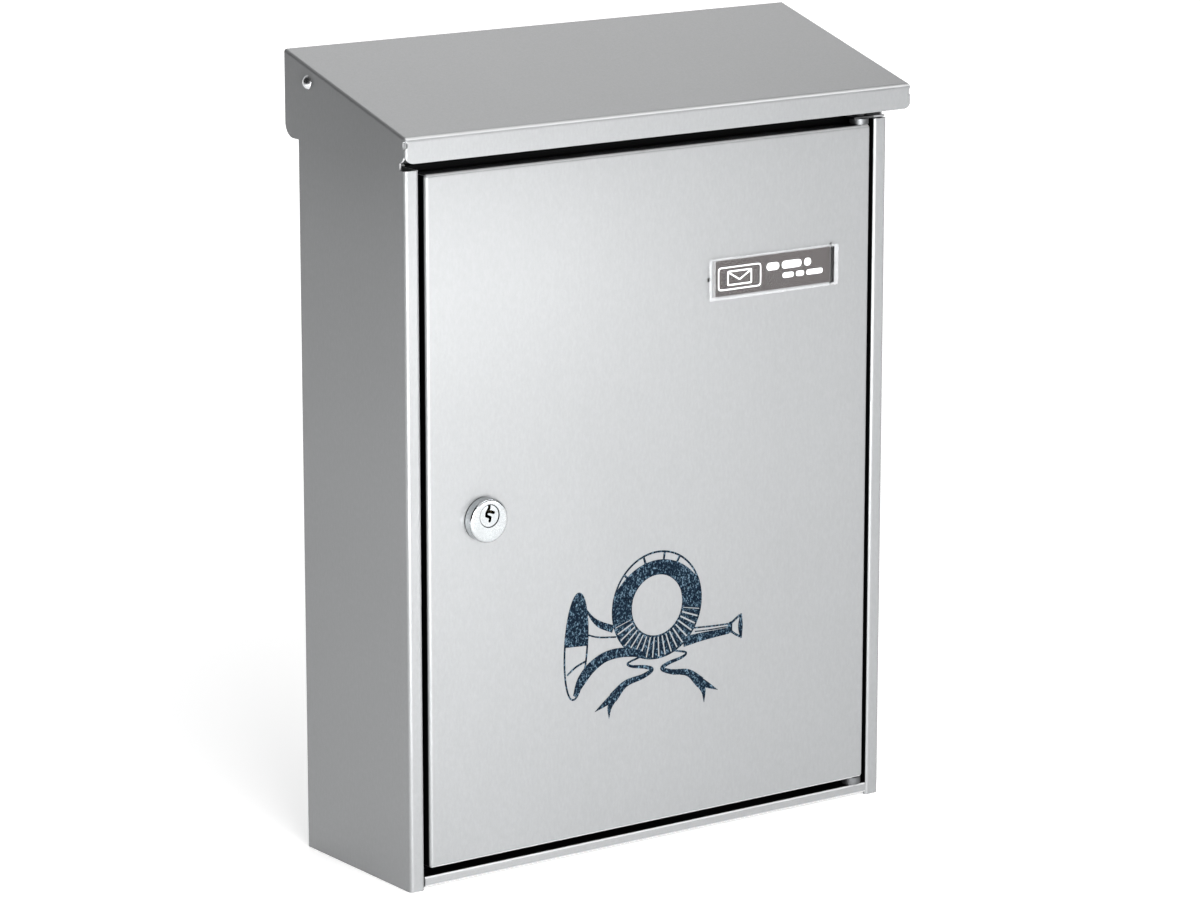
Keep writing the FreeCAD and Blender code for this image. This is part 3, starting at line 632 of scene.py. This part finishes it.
def ribbon(start, side, fall):
    """Ribbon that hangs from the ring in one bend and ends in two points."""
    rows = np.array([(0.0, 0.0, 0.8), (5.8, -1.7, 0.9), (3.8, -3.4, 1.2), (-3.0, -4.8, 1.6),
                     (-6.4, -6.6, 1.8), (-1.6, -8.8, 2.2), (7.0, -10.6, 3.0), (13.4, -15.8, 4.8)])
    tails = [np.array([(12.6, -14.8, 3.4), (17.2, -17.6, 2.4), (22.4, -20.4, 0.12)]),
             np.array([(13.0, -15.4, 4.2), (15.0, -19.8, 2.2), (15.3, -24.6, 0.12)])]
    bands = []
    for line in [rows] + tails:
        path = smooth_path(line, 12)
        place = np.array(start) + path[:, :2] * (side, fall)
        bands.append(np.column_stack([place, path[:, 2]]))
    return bands


def horn_tubes():
    """Tubes between the ring, the bell and the mouthpiece, and the cup of the mouthpiece."""
    lines = [
        [(-6.0, -20.4, 2.2), (-13.0, -18.2, 3.6), (-20.0, -17.3, 4.2), (-27.0, -18.2, 4.4),
         (-33.6, -21.6, 4.8), (-38.4, -26.6, 4.4), (-41.6, -32.2, 1.6)],
        [(-35.8, 3.6, 0.5), (-32.6, -0.8, 1.7), (-28.6, -4.0, 2.8), (-22.2, -6.8, 3.2)],
        [(-35.4, -7.2, 0.7), (-29.3, -9.2, 0.7), (-20.6, -10.4, 0.7)],
        [(-45.4, -22.8, 0.7), (-41.0, -20.0, 0.8), (-35.4, -18.0, 0.7)],
        [(13.5, -17.8, 4.4), (22.0, -17.1, 3.7), (30.0, -16.8, 3.1), (37.2, -16.6, 2.8)],
        [(18.0, -12.6, 0.7), (28.0, -13.3, 0.7), (37.6, -13.7, 0.7)],
        [(19.4, -14.3, 0.5), (28.0, -14.7, 0.5), (37.4, -14.8, 0.5)],
        [(36.6, -15.3, 3.6), (37.8, -15.3, 4.8), (38.8, -15.3, 4.8)],
        [(38.0, -13.8, 1.1), (40.2, -12.3, 1.0), (42.8, -10.8, 1.0)],
        [(38.0, -16.8, 1.1), (40.2, -18.5, 1.0), (42.8, -20.0, 1.0)],
        [(43.4, -10.2, 0.8), (43.1, -15.5, 2.3), (43.4, -20.8, 0.8)],
    ]
    return [smooth_path(line, 12) for line in lines]


def post_horn(material):
    """Post horn of flat ink on the door, a shade thicker for each later band."""
    rim, core = horn_bell()
    bands = horn_ring() + [core] + horn_tubes()
    bands += ribbon((-9.0, -20.8), -1.0, 0.96) + ribbon((9.0, -20.8), 1.0, 1.0)
    door_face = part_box("door_panel")[0].y / MM
    steps = np.linspace(0.0, 0.3 * print_thick_mm, len(bands) + 1)
    ink_face = door_face - print_thick_mm
    ink_back = door_face + print_sink_mm
    shapes = [slab(band, ink_face - step, ink_back) for band, step in zip(bands, steps)]
    shapes.append(slab(rim, ink_face - steps[-1], ink_back, True))
    points, faces = joined(shapes)
    points = (points + (horn_middle_mm[0], 0.0, horn_middle_mm[1])) * MM
    piece = make_mesh("post_horn_print", points, faces, material)
    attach(piece, "door")


# ---------------------------------------------------------------- print on the name card

def outline(wide, tall, corner, middle, width):
    """Rounded rectangle as a closed line: quarter circles about the four corner centres."""
    turn = np.linspace(0.0, 2.0 * math.pi, 48, endpoint=False)
    reach = np.array([wide, tall]) / 2.0 - corner
    unit = np.stack([np.cos(turn), np.sin(turn)], 1)
    place = np.array(middle) + np.sign(unit) * reach + unit * corner
    return np.column_stack([place, np.full(len(place), width)])


def rounded_bar(left, right, level, tall):
    """Bar with half-round ends: its width is the chord of the end circle."""
    radius = tall / 2.0
    turn = np.linspace(0.02, math.pi / 2.0, 10)
    start = left + radius * (1.0 - np.cos(turn))
    end = right - radius * (1.0 - np.cos(turn[::-1]))
    place = np.concatenate([start, end])
    width = np.concatenate([np.sin(turn), np.sin(turn[::-1])]) * tall
    return np.column_stack([place, np.full(len(place), level), width])


def label_print(material):
    """White print of the name card: a letter in a frame, and two broken lines in place of a
    name. Places are in millimetres from the left end and the middle of the card."""
    low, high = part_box("name_label")
    frame_middle = (13.6, -0.4)
    frames = [outline(21.6, 9.2, 1.4, frame_middle, 0.5),
              outline(12.0, 5.6, 0.4, frame_middle, 0.6)]
    flap = np.array([(-6.0, 2.6), (0.0, -0.9), (6.0, 2.6)]) + frame_middle
    lines = [np.column_stack([flap[:2], [0.6, 0.6]]), np.column_stack([flap[1:], [0.6, 0.6]])]
    for left, right in ((27.5, 34.0), (35.4, 45.6), (47.0, 50.6)):
        lines.append(rounded_bar(left, right, 2.2, 3.2))
    for left, right in ((35.8, 41.6), (42.8, 47.0), (48.2, 56.8)):
        lines.append(rounded_bar(left, right, -2.2, 2.2))
    ink_face = low.y / MM - card_ink_mm
    ink_back = low.y / MM + card_sink_mm
    shapes = [slab(line, ink_face, ink_back) for line in lines]
    shapes += [slab(line, ink_face, ink_back, True) for line in frames]
    points, faces = joined(shapes)
    points = points * MM + (low.x, 0.0, (low.z + high.z) / 2.0)
    piece = make_mesh("name_card_print", points, faces, material)
    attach(piece, "door")


# ---------------------------------------------------------------- the whole

def finish_nodes():
    """Materials of the CAD nodes."""
    paint = silver_paint()
    # painted shade: the zinc is made dark, as the hinge bushes sit in the shade of the gaps
    zinc_in_shade = plated_metal("zinc_steel", (0.09, 0.093, 0.096), (0.13, 0.134, 0.138), 0.50, 900.0,
                        (1.0, 1.0, 1.0), 0.00002)
    rivet = plated_metal("rivet_aluminium", (0.58, 0.59, 0.60), (0.70, 0.71, 0.72), 0.25, 1500.0,
                         (1.0, 1.0, 1.0), 0.00001)
    head_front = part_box("lock_housing")[0].y
    door_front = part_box("door_panel")[0].y
    # painted shade: the brass wafers are near black, as they sit in the shade of the keyway
    brass_in_shade = plated_metal("wafer_brass", (0.050, 0.040, 0.020), (0.090, 0.070, 0.035), 0.55, 1500.0,
                         (1.0, 0.3, 1.0), 0.00001)
    finishes = {
        paint: ("casing_wrap", "bottom_tray", "top_rail", "door_panel", "lid_panel"),
        zinc_in_shade: ("lower_hinge_pin", "lower_hinge_bush", "upper_hinge_pin", "upper_hinge_bush",
               "lid_spacer_left", "lid_spacer_right", "lid_rivet_washers", "lock_washer",
               "lock_nut", "name_plate_clips", "cam_stop_washer", "lock_cam",
               "cam_spring_washer", "cam_screw"),
        rivet: ("lid_rivet_left", "lid_rivet_right"),
        # painted shade: the head darkens where it meets the door, and the plug deeper than 1 mm
        # behind the head's front, in the keyway
        lock_chrome("lock_chrome", door_front - 0.5 * MM): ("lock_housing",),
        lock_chrome("plug_chrome", head_front + 1.0 * MM): ("lock_plug",),
        brass_in_shade: ("lock_wafers",),
        clear_plastic(): ("name_plate_cover",),
        label_card(): ("name_label",),
    }
    for material, nodes in finishes.items():
        for node in nodes:
            finish_node(node, material)


def add_lights():
    """Soft studio light: pale surroundings, a wide light overhead on the right, a key on the
    left of the front, low strips, a light behind, and dark cards on the left and above."""
    add_world(0.03, 0.75)
    add_overhead(30.0, 55.0, 80.0, 1.2)
    add_softbox("key", -15.0, 2.0, 1.1, 0.7, 0.7, 20.0)
    add_softbox("low_strip", 5.0, -6.5, 0.9, 1.0, 0.1, 2.8)
    add_softbox("near_strip", -25.0, -10.0, 0.55, 0.4, 0.08, 1.8)
    add_softbox("side_strip", -95.0, -12.0, 0.5, 0.4, 0.06, 0.13)
    add_softbox("back", 145.0, 38.0, 1.4, 0.8, 0.8, 2.2)
    add_softbox("bend_strip", 32.0, 52.0, 0.5, 0.5, 0.06, 0.4)
    add_shade_card("left_card", (-0.55, -0.6, 0.0), (0.0, 1.2, 0.0), (0.0, 0.0, 0.9))
    add_shade_card("top_card", (0.14, -0.38, 0.45), (0.46, 0.0, 0.0), (0.0, 0.48, 0.0))


add_camera()
add_lights()
add_floor(floor_paint())
finish_nodes()
post_horn(horn_ink())
label_print(label_ink())
bpy.context.scene.view_settings.view_transform = "Standard"
